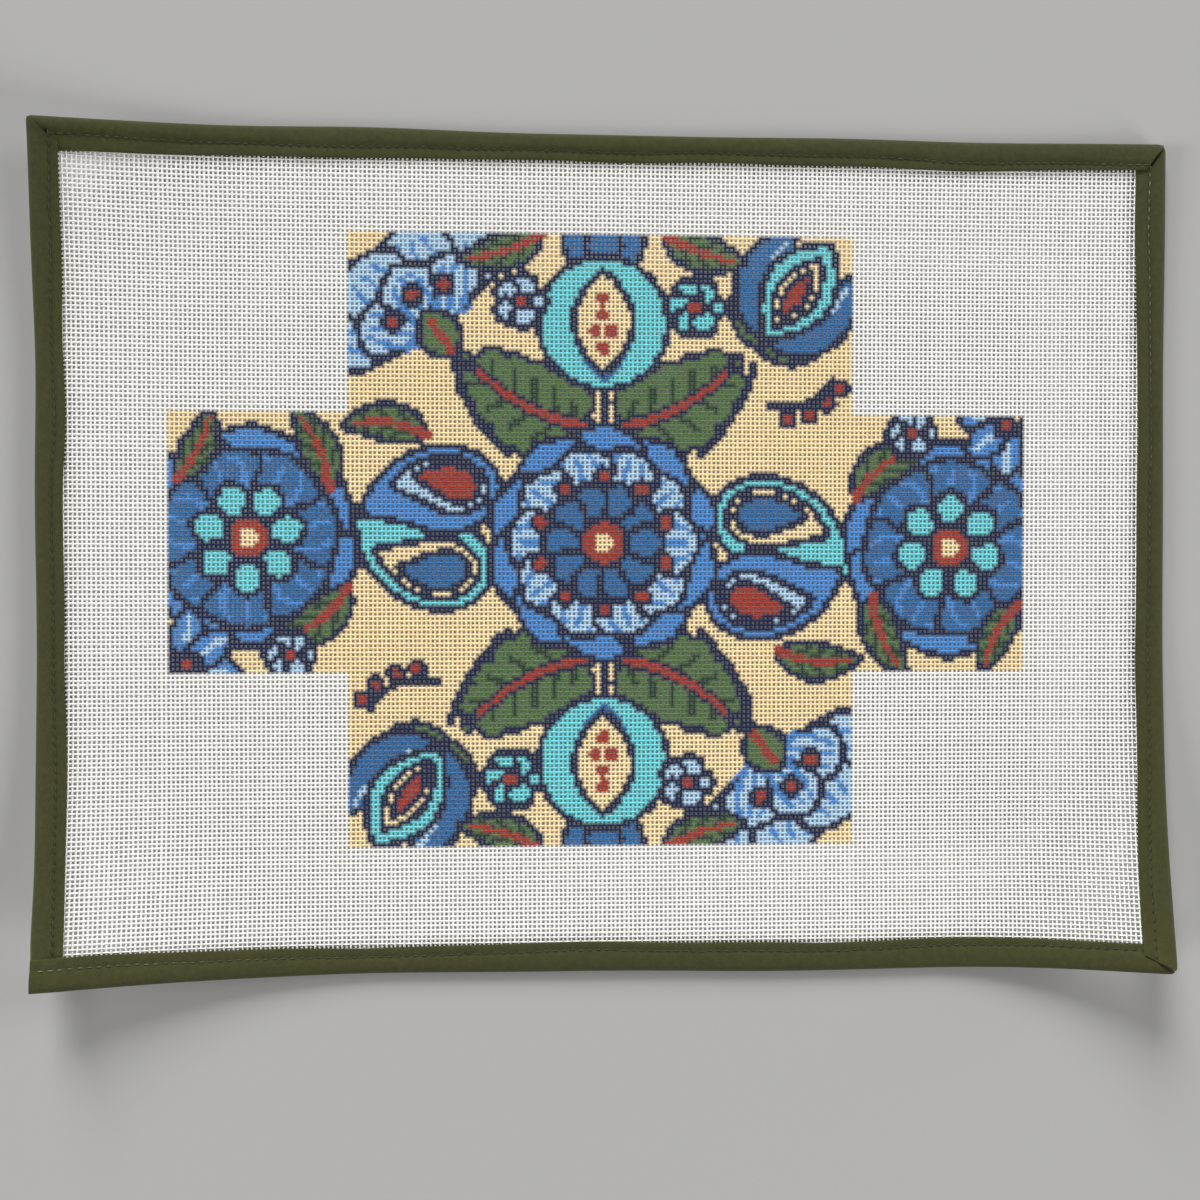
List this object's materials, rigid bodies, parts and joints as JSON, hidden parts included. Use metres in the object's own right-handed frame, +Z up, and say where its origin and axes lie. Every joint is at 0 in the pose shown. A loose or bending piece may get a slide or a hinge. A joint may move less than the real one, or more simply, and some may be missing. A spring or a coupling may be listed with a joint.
{
  "type": "bound needlepoint canvas panel for a brick cover",
  "caption": "Stiff open-mesh canvas rectangle with a folded tape binding, painted with a cross-shaped floral brick-cover design, lying flat with curled corners.",
  "frame": {"origin": "centre of the canvas's flat underside, on the surface that the panel lies on", "axes": "+X along the long side, +Y towards the top edge of the panel, +Z up from the surface through the painted face"},
  "size_m": [0.5011, 0.3723, 0.0246],
  "materials": {
    "painted_canvas": "stiffened white cotton mesh, painted by hand in the middle",
    "binding_tape": "matt olive cotton tape",
    "sewing_thread": "olive sewing thread"
  },
  "bodies": {
    "root": {"canvas": "painted_canvas", "binding": "binding_tape"}
  },
  "joints": []
}
